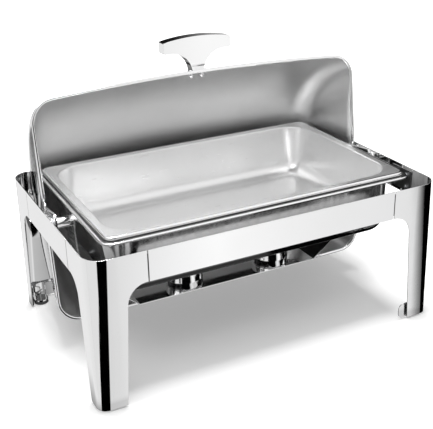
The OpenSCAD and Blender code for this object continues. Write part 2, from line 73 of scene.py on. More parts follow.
# lid
PIVOT_Z = 229.0
OPEN_DEG = 97.5
LID_HALF = 298.0  # half length at the rim
LID_CORNER_R = 40.0
RIM_HEIGHT = 28.0  # rim above the pivot axis
LID_SHIFT = 9.0  # the front half is set this far forward
END_LEAN = 0.115  # inward lean of the end walls per unit of height
LID_SHEET = 1.2
R_MID, R_END = 193.0, 181.5  # barrel radius at mid length and at the ends
CROWN = R_MID - R_END
RIM_CROWN_SHARE = 0.22  # share of the crown left at the rear rim
CROWN_STEPS, CORNER_STEPS = 16, 14
LID_MID = CROWN_STEPS + CORNER_STEPS  # index of the middle point of a lid row
LID_ROWS, WALL_ROWS = 40, 6
RIM_START = 24.0  # the rim beads start this far either side of the pivot axis

# handle
BAR_WIDTH, BAR_THICK = 124.0, 20.0
STEM_WIDTH = 20.0
HANDLE_REACH = 64.0
BAR_MID = 25.0  # from the back of the bar to the middle of its bowed face
FILLET_R = HANDLE_REACH - BAR_MID
BAR_SHOULDER = 6.0  # straight step between the stem fillet and the back of the bar
BAR_TIP_R = 2.2
BOW = 6.0
BOW_R = (BAR_WIDTH ** 2 / 4 + BOW ** 2) / (2 * BOW)
HANDLE_TILT_DEG = 7
SEAT_HEIGHT = 58.0
SEAT_Y = -LID_SHIFT - math.sqrt(R_MID ** 2 - SEAT_HEIGHT ** 2)
HANDLE_FOOT_DEG = 17.5  # place of the foot plate round the barrel, from the rim plane

# fuel cups
CUP_X = {"left": -74.0, "right": 98.0}
CUP_Y = -1.0
CUP_BOTTOM, CUP_HEIGHT, CUP_R = 68.1, 60.0, 32.0


# ---- shader building ------------------------------------------------------------------
def grey(value):
    return (value, value, value)


class ShaderNodes:
    """Adds nodes to a shader tree; an input takes a value or another node's socket."""

    def __init__(self, tree):
        self.tree = tree
        tree.nodes.clear()

    def fill(self, node, inputs):
        for key, value in inputs.items():
            if isinstance(value, bpy.types.NodeSocket):
                self.tree.links.new(value, node.inputs[key])
            else:
                node.inputs[key].default_value = value

    def add(self, kind, inputs=None, **settings):
        node = self.tree.nodes.new(kind)
        for key, value in settings.items():
            setattr(node, key, value)
        self.fill(node, inputs or {})
        return node

    def calc(self, operation, *values):
        return self.add("ShaderNodeMath", dict(enumerate(values)), operation=operation).outputs[0]

    def clamp(self, value, low, high):
        return self.calc("MAXIMUM", self.calc("MINIMUM", value, high), low)

    def invert(self, value):
        return self.calc("SUBTRACT", 1.0, value)

    def split(self, vector):
        return self.add("ShaderNodeSeparateXYZ", {0: vector}).outputs

    def map_range(self, value, result=(0.0, 1.0), source=(0.3, 0.7), smooth=False):
        node = self.add("ShaderNodeMapRange", {
            "Value": value,
            "From Min": source[0], "From Max": source[1],
            "To Min": result[0], "To Max": result[1],
        }, interpolation_type="SMOOTHSTEP" if smooth else "LINEAR")
        return node.outputs["Result"]

    def ramp(self, value, stops):
        """Colour ramp from (position, rgb) stops."""
        node = self.add("ShaderNodeValToRGB", {0: value})
        elements = node.color_ramp.elements
        while len(elements) > 1:
            elements.remove(elements[0])
        elements[0].position = stops[0][0]
        elements[0].color = (*stops[0][1], 1)
        for position, color in stops[1:]:
            elements.new(position).color = (*color, 1)
        return node.outputs[0]


class Material(ShaderNodes):
    """A new material with a Principled shader and object coordinates."""

    def __init__(self, name):
        self.data = bpy.data.materials.new(name)
        self.data.use_nodes = True
        super().__init__(self.data.node_tree)
        self.shader = self.add("ShaderNodeBsdfPrincipled")
        self.output = self.add("ShaderNodeOutputMaterial", {0: self.shader.outputs[0]})
        self.coords = self.add("ShaderNodeTexCoord").outputs["Object"]

    def noise(self, scale, detail=3.0, roughness=0.55, distortion=0.0, coords=None):
        return self.add("ShaderNodeTexNoise", {
            "Vector": coords or self.coords,
            "Scale": scale, "Detail": detail,
            "Roughness": roughness, "Distortion": distortion,
        }).outputs["Fac"]

    def stretched_noise(self, scale_xyz, **settings):
        mapping = self.add("ShaderNodeMapping", {0: self.coords, "Scale": scale_xyz})
        return self.noise(scale=1.0, coords=mapping.outputs[0], **settings)

    def bump(self, height, distance, under=None):
        node = self.add("ShaderNodeBump", {
            "Height": height, "Strength": 1.0, "Distance": distance})
        if under is not None:
            self.fill(node, {"Normal": under})
        return node.outputs[0]

    def smudges(self, roughness):
        """Roughness with soft smears."""
        smear = self.noise(scale=22, detail=4, roughness=0.6, distortion=0.4)
        return self.map_range(smear, roughness, source=(0.35, 0.72))

    def polish_lines(self):
        return self.bump(self.stretched_noise((30, 30, 900), detail=2), distance=0.000004)

    def finish(self, color, roughness, normal, metallic=1.0):
        self.fill(self.shader, {"Metallic": metallic, "Roughness": roughness,
                                "Base Color": color, "Normal": normal})
        return self.data


def mirror_steel(name, roughness, tint, wave):
    """Polished sheet; wave is the height in metres of its slow ripple."""
    mat = Material(name)
    color = mat.ramp(mat.noise(scale=9, detail=2),
                     [(0.3, grey(tint - 0.02)), (0.7, (tint, tint, tint + 0.004))])
    ripple = mat.bump(mat.noise(scale=5.5, detail=1), wave, under=mat.polish_lines())
    return mat.finish(color, mat.smudges(roughness), ripple)


def mirror_with_painted_shade(name, face_normal, dark=0.13, tint=0.92, tip_start=0.0608):
    """Mirror on the faces along face_normal and past tip_start (metres) in x, painted shade
    elsewhere.
    """
    mat = Material(name)
    coords = mat.add("ShaderNodeTexCoord")
    facing = mat.add("ShaderNodeVectorMath", {0: coords.outputs["Normal"], 1: face_normal},
                     operation="DOT_PRODUCT")
    # painted shade: faces turned away from face_normal are painted dark, in place of dark
    # reflections
    edge = mat.ramp(mat.calc("ABSOLUTE", facing.outputs["Value"]), [
        (0.3, grey(dark)), (0.8, grey(dark * 1.3)), (0.94, grey(tint * 0.7)), (0.985, grey(tint))])
    x = mat.split(coords.outputs["Object"])["X"]
    tip = mat.calc("GREATER_THAN", mat.calc("ABSOLUTE", x), tip_start)
    color = mat.add("ShaderNodeMixRGB", {"Fac": tip, "Color1": edge, "Color2": (*grey(tint), 1)})
    return mat.finish(color.outputs[0], mat.smudges((0.04, 0.1)), mat.polish_lines())


def satin_steel(name, brush, roughness, tint, grain=0.000012):
    """Brushed sheet; brush is the noise scale per axis, lowest along the strokes."""
    mat = Material(name)
    strokes = mat.stretched_noise(brush, detail=4, roughness=0.6)
    color = mat.ramp(mat.noise(scale=12), [(0.3, grey(tint - 0.035)), (0.7, grey(tint))])
    return mat.finish(color, mat.map_range(strokes, roughness), mat.bump(strokes, grain))


def water_steel_painted_shade(name):
    """Left as drawn, with painted shade: bright at the rim and darker down the body."""
    mat = Material(name)
    drawn = mat.stretched_noise((160, 160, 20))
    height = mat.map_range(mat.split(mat.coords)[2], source=(0.19, 0.256))
    # painted shade: the colour darkens from the rim down the body
    color = mat.ramp(height, [
        (0.0, grey(0.2)), (0.55, grey(0.42)), (0.85, grey(0.62)), (0.97, grey(0.88))])
    return mat.finish(color, mat.map_range(drawn, (0.1, 0.2)), mat.bump(drawn, distance=0.00002))


def zinc_steel(name):
    mat = Material(name)
    speck = mat.noise(scale=1400, roughness=0.7)
    color = mat.ramp(mat.noise(scale=320, detail=2),
                     [(0.3, (0.62, 0.63, 0.65)), (0.7, (0.78, 0.79, 0.8))])
    return mat.finish(color, mat.map_range(speck, (0.16, 0.34)), mat.bump(speck, distance=0.00001))


def rubber(name):
    mat = Material(name)
    grain = mat.noise(scale=2600, roughness=0.6)
    dust = mat.noise(scale=60, detail=4, roughness=0.65)
    color = mat.ramp(dust, [(0.3, (0.035, 0.036, 0.038)), (0.75, (0.085, 0.086, 0.088))])
    return mat.finish(color, mat.map_range(grain, (0.42, 0.62)),
                      mat.bump(grain, distance=0.00004), metallic=0.0)


# direction the broad faces of the handle look in with the lid open
BAR_ANGLE = math.radians(OPEN_DEG - HANDLE_TILT_DEG)
BAR_NORMAL = (0, math.sin(BAR_ANGLE), math.cos(BAR_ANGLE))

FRAME = mirror_steel("frame_mirror", roughness=(0.025, 0.06), tint=0.935, wave=0.00006)
LID_OUT = mirror_steel("lid_outside_mirror", roughness=(0.04, 0.09), tint=0.92, wave=0.0001)
LID_IN = satin_steel("lid_inside_satin", brush=(9, 700, 700), roughness=(0.34, 0.44),
                     tint=0.80, grain=0.000005)
PAN = satin_steel("food_pan_satin", brush=(40, 420, 420), roughness=(0.27, 0.36),
                  tint=0.84, grain=0.000003)
WATER = water_steel_painted_shade("water_pan_body_painted_shade")
FITTING = mirror_steel("fitting_mirror", roughness=(0.04, 0.1), tint=0.92, wave=0.00002)
# handle: mirror with painted shade on the sides and bevels of the bar
GRIP = mirror_with_painted_shade("handle_mirror_painted_shade", BAR_NORMAL)
CRADLE = satin_steel("cradle_satin", brush=(500, 30, 500), roughness=(0.2, 0.32), tint=0.84)
# painted shade: near-black satin on the splice plates behind the leg seams and under the food
# pan's bead
PAINTED_SHADE_SATIN = satin_steel("painted_shade_dark_satin", brush=(500, 30, 500), roughness=(0.3, 0.45), tint=0.22)
PAN_RIM = mirror_steel("pan_rim_polished", roughness=(0.05, 0.1), tint=0.93, wave=0.00002)
ZINC = zinc_steel("fastener_zinc")
RUBBER = rubber("foot_rubber")
CUP = mirror_steel("cup_mirror", roughness=(0.05, 0.11), tint=0.93, wave=0.00015)


# ---- mesh helpers ------------------------------------------------------------------
def piece(name, shape, materials, body, stands_for, merge=0.005, place=Matrix.Identity(4)):
    """Object from (vertices, faces) in mm, riding on a body and replacing a CAD node."""
    verts, faces = shape
    mesh = bpy.data.meshes.new(name)
    bm = bmesh.new()
    bm_verts = [bm.verts.new(Vector(v)) for v in verts]
    for face in faces:
        bm.faces.new([bm_verts[i] for i in face])
    bmesh.ops.remove_doubles(bm, verts=bm.verts, dist=merge)
    bmesh.ops.dissolve_degenerate(bm, dist=merge * 0.5, edges=bm.edges)
    for face in bm.faces:
        face.smooth = True
    bm.transform(Matrix.Scale(MM, 4) @ place)
    bm.to_mesh(mesh)
    bm.free()
    obj = bpy.data.objects.new(name, mesh)
    scene.collection.objects.link(obj)
    for material in materials:
        mesh.materials.append(material)
    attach(obj, body)
    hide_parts(stands_for)
    return obj


def solidify(obj, thickness, inside_slot=0):
    mod = obj.modifiers.new("sheet", "SOLIDIFY")
    mod.thickness = thickness * MM
    mod.offset = -1
    mod.use_even_offset = True
    mod.material_offset = inside_slot


def bevel(obj, width, segments, angle):
    mod = obj.modifiers.new("edge", "BEVEL")
    mod.width = width * MM
    mod.segments = segments
    mod.limit_method = "ANGLE"
    mod.angle_limit = math.radians(angle)
    mod.harden_normals = True


def loft(rings, closed=True, cap_start=False, cap_end=False, flip=False):
    """Skin a list of equal rings; returns (vertices, faces)."""
    verts = [p for ring in rings for p in ring]
    n = len(rings[0])
    faces = []
    for j in range(len(rings) - 1):
        for i in range(n if closed else n - 1):
            a, b = j * n + i, j * n + (i + 1) % n
            quad = [a, b, b + n, a + n]
            faces.append(quad[::-1] if flip else quad)
    if cap_start:
        cap = list(range(n))
        faces.append(cap if flip else cap[::-1])
    if cap_end:
        cap = list(range((len(rings) - 1) * n, len(rings) * n))
        faces.append(cap[::-1] if flip else cap)
    return verts, faces


def sweep(path, profile):
    """Carry an (offset, z) profile along an xy path, with both ends capped."""
    rings = []
    for i, (x, y) in enumerate(path):
        before, after = path[max(0, i - 1)], path[min(len(path) - 1, i + 1)]
        along = Vector((after[0] - before[0], after[1] - before[1])).normalized()
        rings.append([(x - along.y * offset, y + along.x * offset, z) for offset, z in profile])
    return loft(rings, cap_start=True, cap_end=True)


def round_box(cx, cy, half_x, half_y, radius, steps):
    points = []
    for quarter, (sx, sy) in enumerate([(1, 1), (-1, 1), (-1, -1), (1, -1)]):
        for i in range(steps + 1):
            a = math.pi / 2 * (quarter + i / steps)
            points.append((cx + sx * (half_x - radius) + radius * math.cos(a),
                           cy + sy * (half_y - radius) + radius * math.sin(a)))
    return points


# ---- legs: bent sheet with a lean on each wing and an arch ------------------------------
def wing_edge(low, top, end):
    """Free edge of a wing as (distance from the corner, z), floor to seam."""
    lean = (top - low) / LEAN_HEIGHT
    slant = math.hypot(1, lean)
    arch_z = RAIL_LOW - ARCH_R
    arch_x = low + lean * arch_z + ARCH_R * slant
    arch_start_z = arch_z + ARCH_R * lean / slant
    heights = [LEG_BOTTOM + (arch_start_z - LEG_BOTTOM) * i / 8 for i in range(9)]
    points = [(low + lean * z, z) for z in heights]
    start = math.pi - math.atan(lean)
    for i in range(1, 21):
        a = start + (math.pi / 2 - start) * i / 20
        points.append((arch_x + ARCH_R * math.cos(a), arch_z + ARCH_R * math.sin(a)))
    for i in range(1, 4):
        points.append((arch_x + (end - arch_x) * i / 3, RAIL_LOW))
    return points


def leg(node, sx, sy):
    side = wing_edge(*SIDE_WING, HALF_DEPTH - SIDE_SEAM - SEAM_GAP / 2 - SEAM_BACK)
    front = wing_edge(*FRONT_WING, HALF_LENGTH - FRONT_SEAM - SEAM_GAP / 2 - SEAM_BACK)
    # upright columns: corner angle or None, x and y in from the corner, lowest z
    columns = [(None, 0.0, t, z) for t, z in reversed(side)]
    columns += [(math.pi / 2 * i / 24, 0.0, 0.0, LEG_BOTTOM) for i in range(25)]
    columns += [(None, t, 0.0, z) for t, z in front]
    rows = 8
    verts, faces = [], []
    for angle, x, y, z_low in columns:
        for j in range(rows + 1):
            z = z_low + (RAIL_TOP - z_low) * j / rows
            if angle is not None:
                # the corner is drawn tighter towards the floor
                rise = z - LEG_BOTTOM
                r = CORNER_LOW_R + (CORNER_TOP_R - CORNER_LOW_R) * rise / (RAIL_TOP - LEG_BOTTOM)
                x, y = r - r * math.cos(angle), r - r * math.sin(angle)
            verts.append((sx * (HALF_LENGTH - x), sy * (HALF_DEPTH - y), z))
    n = rows + 1
    for i in range(len(columns) - 1):
        for j in range(rows):
            quad = [i * n + j, (i + 1) * n + j, (i + 1) * n + j + 1, i * n + j + 1]
            faces.append(quad[::-1] if sx * sy < 0 else quad)
    obj = piece(f"{node}_sheet", (verts, faces), [FRAME], "frame", node, merge=0.02)
    solidify(obj, LEG_SHEET)
    bevel(obj, width=0.32, segments=2, angle=45)


for end_name, end_sign in (("front", -1), ("rear", 1)):
    for side_name, side_sign in (("left", -1), ("right", 1)):
        leg(f"leg_{end_name}_{side_name}", side_sign, end_sign)


# ---- lid: drawn barrel with rounded ends, satin inside ------------------------------------
LID_PLACE = (Matrix.Translation((0, 0, PIVOT_Z))
             @ Matrix.Rotation(-math.radians(OPEN_DEG), 4, "X"))


def lid_section(angle, crown):
    """Half profile [(x, radius)] of the lid in the plane at an angle round the pivot axis."""
    def crown_radius(x):
        return R_END + crown * (1 - (x / LID_HALF) ** 2)

    lean = END_LEAN * math.sin(angle)
    wall_x = LID_HALF + END_LEAN * RIM_HEIGHT
    slant = math.hypot(1, lean)
    # settle the corner arc so that it touches both the crown and the end wall
    arc_x, slope = LID_HALF - LID_CORNER_R, 0.06
    for _ in range(12):
        touch_x = arc_x + LID_CORNER_R * math.sin(slope)
        slope = math.atan(2 * crown * touch_x / LID_HALF ** 2)
        arc_r = crown_radius(touch_x) - LID_CORNER_R * math.cos(slope)
        arc_x = wall_x - lean * arc_r - LID_CORNER_R * slant
    touch_x = arc_x + LID_CORNER_R * math.sin(slope)
    stations = [touch_x * i / CROWN_STEPS for i in range(CROWN_STEPS)]
    points = [(x, crown_radius(x)) for x in stations]
    start, end = math.pi / 2 - slope, math.atan(lean)
    for i in range(CORNER_STEPS + 1):
        a = start + (end - start) * i / CORNER_STEPS
        points.append((arc_x + LID_CORNER_R * math.cos(a), arc_r + LID_CORNER_R * math.sin(a)))
    return points


def lid_point(i, angle, crown):
    """(x, radius) of point i, counted from the left end over the middle to the right end."""
    x, r = lid_section(angle, crown)[abs(i - LID_MID)]
    return (x if i >= LID_MID else -x), r


def rim_angle(i, crown):
    """Angle round the pivot axis at which point i comes down to the rim."""
    angle = 0.15
    for _ in range(20):
        _x, r = lid_point(i, angle, crown)
        angle = math.asin(RIM_HEIGHT / r)
    return angle


def lid_half(front):
    """Rows of points from the rim up to the top; the crown flattens towards the rear rim."""
    rim_share = 1.0 if front else RIM_CROWN_SHARE
    count = 2 * LID_MID + 1
    starts = [rim_angle(i, CROWN * rim_share) for i in range(count)]
    rows = []
    for v in range(LID_ROWS + 1):
        ease = v / LID_ROWS
        ease = ease * ease * (3 - 2 * ease)
        crown = CROWN * (rim_share + (1 - rim_share) * ease)
        row = []
        for i in range(count):
            angle = starts[i] + (math.pi / 2 - starts[i]) * v / LID_ROWS
            x, r = lid_point(i, angle, crown)
            y = r * math.cos(angle)
            row.append((x, -y - LID_SHIFT if front else y, r * math.sin(angle)))
        rows.append(row)
    return rows


def end_wall(point, side):
    """Points from the end of a row down the leaning end wall to the rim."""
    _x, y, top = point
    heights = [top + (RIM_HEIGHT - top) * j / WALL_ROWS for j in range(1, WALL_ROWS + 1)]
    return [(side * (LID_HALF - END_LEAN * (z - RIM_HEIGHT)), y, z) for z in heights]


def rim_bead(name, row, sign):
    """Bead along a rim row and back along both end walls; sign is +1 rear, -1 front."""
    points = [(x, y) for x, y, _z in row]
    y0 = RIM_START * sign
    left = [(-LID_HALF, y0 + (points[0][1] - y0) * t / 8) for t in range(8)]
    right = [(LID_HALF, y0 + (points[-1][1] - y0) * t / 8) for t in range(7, -1, -1)]
    path = left + points + right
    if sign < 0:
        path = path[::-1]
    profile = round_box(-1.5, RIM_HEIGHT, half_x=2.5, half_y=2.5, radius=1.9, steps=5)
    piece(name, sweep(path, profile), [LID_OUT], "lid", "lid_shell", place=LID_PLACE)


def lid():
    rows = lid_half(front=False) + lid_half(front=True)[::-1]
    walled = [end_wall(row[0], -1)[::-1] + row + end_wall(row[-1], 1) for row in rows]
    shell = piece("lid_barrel", loft(walled, closed=False, flip=True), [LID_OUT, LID_IN],
                  "lid", "lid_shell", merge=0.03, place=LID_PLACE)
    solidify(shell, LID_SHEET, inside_slot=1)
    # with the lid open its rear rim is the low one
    rim_bead("lid_rim_bead_low", rows[0], 1)
    rim_bead("lid_rim_bead_front", rows[-1], -1)


lid()


# ---- handle: T-shaped bar on a foot plate --------------------------------------------------
def bow_y(x):
    return -HANDLE_REACH + BOW_R - math.sqrt(BOW_R ** 2 - x * x)


def handle_outline():
    """Plan (x, y) of the T with the stem root at y = 0, reaching towards -y."""
    half = [(STEM_WIDTH / 2, 0.0)]
    fillet_x = STEM_WIDTH / 2 + FILLET_R
    for i in range(1, 21):
        a = math.pi - math.pi / 2 * i / 20
        half.append((fillet_x + FILLET_R * math.cos(a), -FILLET_R * math.sin(a)))
    half.append((fillet_x + BAR_SHOULDER, -FILLET_R))
    r = BAR_TIP_R
    tip_x = BAR_WIDTH / 2 - r
    back_tip = (-FILLET_R - r, math.pi / 2)
    face_tip = (bow_y(BAR_WIDTH / 2) + r, 0.0)
    for tip_y, start in (back_tip, face_tip):
        for i in range(6):
            a = start - math.pi / 2 * i / 5
            half.append((tip_x + r * math.cos(a), tip_y + r * math.sin(a)))
    for i in range(1, 13):
        x = tip_x * (1 - i / 12)
        half.append((x, bow_y(x)))
    return half + [(-x, y) for x, y in reversed(half[:-1])]


def handle_bar():
    tilt = math.radians(HANDLE_TILT_DEG)
    along = Vector((0, math.cos(tilt), math.sin(tilt)))
    across = Vector((0, -math.sin(tilt), math.cos(tilt)))
    seat = Vector((0, SEAT_Y, SEAT_HEIGHT))
    rings = []
    for dz in (-BAR_THICK / 2, BAR_THICK / 2):
        ring = []
        for x, y in handle_outline():
            p = seat + Vector((x, 0, 0)) + along * y + across * dz
            if y > -0.5:
                # slide the root of the stem along the handle onto the barrel
                for _ in range(8):
                    radius = math.hypot(p.y + LID_SHIFT, p.z)
                    outward = Vector((0, (p.y + LID_SHIFT) / radius, p.z / radius))
                    p = p + along * ((R_MID + 0.15 - radius) / along.dot(outward))
            ring.append(tuple(p))
        rings.append(ring)
    shape = loft(rings, cap_start=True, cap_end=True, flip=True)
    obj = piece("lid_handle_t_bar", shape, [GRIP], "lid", "lid_handle", place=LID_PLACE)
    bevel(obj, width=2.1, segments=5, angle=35)


def handle_foot():
    ring = round_box(0, 0, half_x=17, half_y=10.5, radius=5, steps=6)
    rings = [[(x, y, R_MID + lift) for x, y in ring] for lift in (-0.3, 3.8)]
    place = (LID_PLACE @ Matrix.Translation((0, -LID_SHIFT, 0))
             @ Matrix.Rotation(math.radians(90 - HANDLE_FOOT_DEG), 4, "X"))
    shape = loft(rings, cap_start=True, cap_end=True)
    obj = piece("lid_handle_foot", shape, [FITTING], "lid", "lid_handle", place=place)
    bevel(obj, width=1.2, segments=3, angle=35)


handle_bar()
handle_foot()


# ---- pans: a size is (half length, half depth, corner radius) ------------------------------
def inset(size, amount):
    return tuple(value - amount for value in size)


def between(a, b, t):
    return tuple(p + (q - p) * t for p, q in zip(a, b))


def pan_ring(size, z):
    half_x, half_y, r = size
    corner_steps, x_steps, y_steps = 12, 8, 5
    # corner signs and start angle, anticlockwise from the front right
    corners = [(1, -1, -90), (1, 1, 0), (-1, 1, 90), (-1, -1, 180)]

    def corner_point(quarter, turn):
        sx, sy, start = corners[quarter]
        a = math.radians(start + turn)
        return (sx * (half_x - r) + r * math.cos(a), sy * (half_y - r) + r * math.sin(a), z)

    points = []
    for quarter in range(4):
        points += [corner_point(quarter, 90 * i / corner_steps) for i in range(corner_steps + 1)]
        last, end = points[-1], corner_point((quarter + 1) % 4, 0)
        steps = y_steps if quarter % 2 == 0 else x_steps
        points += [between(last, end, i / steps) for i in range(1, steps)]
    return points


def pan(node, material, rim, mouth, base, top, depth, bead, painted_shadow_under_rim=False):
    """Drawn pan; base[2] is also the bend radius between wall and floor."""
    flat_edge = 4.5
    # rim bead: inset from the rim, share of the bead height below the top
    bead_stations = [
        (4.4, 0.93), (4.4 * 0.5, 0.995), (4.4 * 0.14, 0.86), (0.0, 0.62), (0.0, 0.36),
        (0.35, 0.14), (1.1, 0.03), (2.2, 0.0), (flat_edge, 0.0),
    ]
    rings = [pan_ring(inset(rim, e), top - bead * drop) for e, drop in bead_stations]
    # flange and the bend into the mouth
    lip_r = 3.0
    for t in (0.35, 0.7, 1.0):
        rings.append(pan_ring(between(inset(rim, flat_edge), inset(mouth, -lip_r), t), top))
    for i in range(1, 6):
        a = math.pi / 2 * i / 5
        outward = lip_r * (1 - math.sin(a))
        rings.append(pan_ring(inset(mouth, -outward), top - lip_r * (1 - math.cos(a))))
    # wall, floor bend and floor
    floor_z = top - depth
    base_x, base_y, bend_r = base
    wall_change = floor_z + bend_r - top + lip_r
    for t in (0.2, 0.4, 0.6, 0.8):
        rings.append(pan_ring(between(mouth, base, t), (top - lip_r) + wall_change * t))
    for i in range(10):
        a = math.pi / 2 * i / 9
        inward = bend_r * (1 - math.cos(a))
        corner_r = 9 + (bend_r - 9) * math.cos(a)
        rings.append(pan_ring((base_x - inward, base_y - inward, corner_r),
                              floor_z + bend_r - bend_r * math.sin(a)))
    for e in (4, 30, 70, 108):
        rings.append(pan_ring((base_x - bend_r - e, base_y - bend_r - e, 8), floor_z))
    obj = piece(f"{node}_drawn", loft(rings, cap_end=True), [material, PAN_RIM, PAINTED_SHADE_SATIN],
                node, node)
    # the outer band of the rim is polished, and below mid bead takes a painted shadow if asked
    band = 3.4
    rim_x, rim_y, rim_r = rim
    for face in obj.data.polygons:
        c = face.center / MM
        x, y = abs(c.x), abs(c.y)
        from_corner = math.hypot(max(0, x - rim_x + rim_r), max(0, y - rim_y + rim_r))
        if rim_x - x < band or rim_y - y < band or from_corner > rim_r - band:
            face.material_index = 2 if painted_shadow_under_rim and c.z < top - 0.5 * bead else 1
    solidify(obj, 1.15)


# the food pan has a painted shadow under its bead
pan("food_pan", PAN, rim=(265, 162.5, 16), mouth=(249, 147, 46), base=(241, 139, 24),
    top=263.2, depth=90, bead=6.6, painted_shadow_under_rim=True)
pan("water_pan", WATER, rim=(272, 169, 20), mouth=(255.5, 153.5, 48), base=(247, 145, 26),
    top=256.5, depth=105, bead=4.4)


# ---- fuel cups: turned, with two raised bands ------------------------------------------------
def fuel_cup(side, cx):
    r, wall = CUP_R, 1.2
    bend = [math.pi / 2 * i / 6 for i in range(1, 7)]
    lip = [-0.9 + (math.pi + 1.8) * i / 10 for i in range(11)]
    # (radius, z above the bottom): outside from the centre up, over the lip, back down inside
    profile = [(0.01, 0), (14, 0), (r - 4, 0)]
    profile += [(r - 3 + 3 * math.sin(a), 3 - 3 * math.cos(a)) for a in bend]
    for z in (12, 44):
        profile += [(r, z), (r + 0.35, z + 1), (r + 0.35, z + 3), (r, z + 4)]
    profile += [(r, CUP_HEIGHT - 3)]
    profile += [(r - 0.2 + math.cos(a), CUP_HEIGHT - 1.0 + math.sin(a)) for a in lip]
    profile += [(r - wall, CUP_HEIGHT - 4), (r - wall, 4), (r - 2.4, 2.0), (r - 5, wall),
                (0.01, wall)]
    turns = [2 * math.pi * i / 72 for i in range(72)]
    rings = [[(cx + radius * math.cos(a), CUP_Y + radius * math.sin(a), CUP_BOTTOM + z)
              for a in turns] for radius, z in profile]
    piece(f"fuel_cup_{side}", loft(rings), [CUP], f"fuel_{side}", f"fuel_holder_{side}")


for cup_side, cup_x in CUP_X.items():
    fuel_cup(cup_side, cup_x)


# ---- CAD nodes that stay: broken edges and their own finish ---------------------------------
KEPT = {
    FRAME: ["front_rail", "rear_rail", "side_rail_left", "side_rail_right"],
    FITTING: [
        "foot_clips", "hinge_bracket_left", "hinge_bracket_right", "pivot_pin_left",
        "pivot_pin_right", "lid_lug_left", "lid_lug_right", "foot_front_left",
        "foot_front_right", "foot_rear_left", "foot_rear_right", "handle_cap_nuts",
        "fuel_shelf", "holder_grip_left", "holder_grip_right", "fuel_cover_left",
        "fuel_cover_right"],
    CRADLE: ["cradle_end_left", "cradle_end_right", "damper_left", "damper_right"],
    # the splice plates carry the painted shade of the seams
    PAINTED_SHADE_SATIN: ["splice_plates"],
    ZINC: [
        "splice_studs", "splice_nuts", "pivot_washers", "pivot_nuts", "shelf_screws",
        "shelf_nuts", "lug_rivets", "handle_studs", "handle_washers", "damper_rivet_left",
        "damper_rivet_right"],
    RUBBER: ["foot_pads"],
}
# bevel width in mm where it is not the usual one
USUAL_EDGE = 0.22
EDGE = {
    "front_rail": 0.3, "rear_rail": 0.3, "side_rail_left": 0.3, "side_rail_right": 0.3,
    "fuel_shelf": 0.3, "cradle_end_left": 0.5, "cradle_end_right": 0.5,
    "hinge_bracket_left": 0.6, "hinge_bracket_right": 0.6,
    "lid_lug_left": 0.5, "lid_lug_right": 0.5, "foot_pads": 0.6,
}


def dress(name, material):
    obj = NODES[name]
    obj.data.materials.clear()
    obj.data.materials.append(material)
    weld = obj.modifiers.new("join", "WELD")
    weld.merge_threshold = 0.00001
    bevel(obj, EDGE.get(name, USUAL_EDGE), segments=2, angle=32)
    shade = obj.modifiers.new("shade", "WEIGHTED_NORMAL")
    shade.mode = "FACE_AREA"
    shade.weight = 60
    shade.keep_sharp = True


for kept_material, kept_names in KEPT.items():
    for kept_name in kept_names:
        dress(kept_name, kept_material)


# ---- studio seen by reflected rays: white cards and black flags -------------------------------
# (azimuth in degrees, brightness); azimuth runs from the front, positive to the right
AZIMUTH_STOPS = [
    (-180, 0.04), (-173, 0.04), (-171, 0.86), (-150, 0.86), (-101, 0.82), (-100, 0.0),
    (13.6, 0.0), (14.2, 0.72), (18, 0.76), (22, 0.9), (26.5, 1.04), (32, 0.94),
    (40.6, 0.82), (41.9, 0.82), (42.4, 0.0), (137, 0.0), (138, 0.84), (164, 0.86),
    (166, 0.04), (180, 0.04),
]


def studio(kit, direction, floor_x=None):
    """Brightness of the studio along a direction, as an output socket."""
    calc = kit.calc
    x, y, z = kit.split(direction)
    azimuth = calc("ARCTAN2", x, calc("MULTIPLY", y, -1.0))
    steep = calc("MULTIPLY", z, -1.0)
    # to the right of 35 degrees the stops slip by -0.3 to 1.6 degrees, more for steeper rays
    slip = calc("MULTIPLY", calc("SUBTRACT", steep, 0.381), 9.0)
    slip = kit.clamp(slip, -0.3, 1.6)
    slip = calc("MULTIPLY", slip, calc("GREATER_THAN", azimuth, math.radians(35)))
    turned = calc("SUBTRACT", azimuth, calc("MULTIPLY", slip, math.radians(1)))
    position = calc("ADD", calc("DIVIDE", turned, 2 * math.pi), 0.5)
    low = kit.ramp(position, [((a + 180) / 360, grey(value)) for a, value in AZIMUTH_STOPS])
    # a left card covers the flag up to -40 degrees, drawing back to -87 for steep rays
    grow = kit.clamp(calc("DIVIDE", calc("SUBTRACT", steep, 0.455), 0.144), 0.0, 1.0)
    edge = calc("ADD", calc("MULTIPLY", grow, math.radians(-47)), math.radians(-40))
    west = calc("MULTIPLY", calc("LESS_THAN", azimuth, edge),
                calc("GREATER_THAN", azimuth, math.radians(-100.5)))
    low = calc("MAXIMUM", low, calc("MULTIPLY", west, 0.8))
    if floor_x is not None:
        # floor left of x = 0.1 m shows an even card in place of the right flag
        inside = calc("LESS_THAN", floor_x, 0.1)
        east = calc("MULTIPLY", calc("GREATER_THAN", azimuth, math.radians(41)), inside)
        low = calc("ADD", calc("MULTIPLY", low, kit.invert(east)), calc("MULTIPLY", east, 0.8))
    # above the horizon: a bright overhead card, darker towards the back
    back = kit.map_range(y, source=(-0.15, 0.35), smooth=True)
    rise = kit.map_range(z, source=(0.45, 0.75), smooth=True)
    shade = calc("MULTIPLY", back, kit.invert(rise))
    high = kit.invert(calc("MULTIPLY", shade, 0.97))
    upper = kit.map_range(z, source=(0.02, 0.3), smooth=True)
    return calc("ADD", calc("MULTIPLY", low, kit.invert(upper)), calc("MULTIPLY", high, upper))


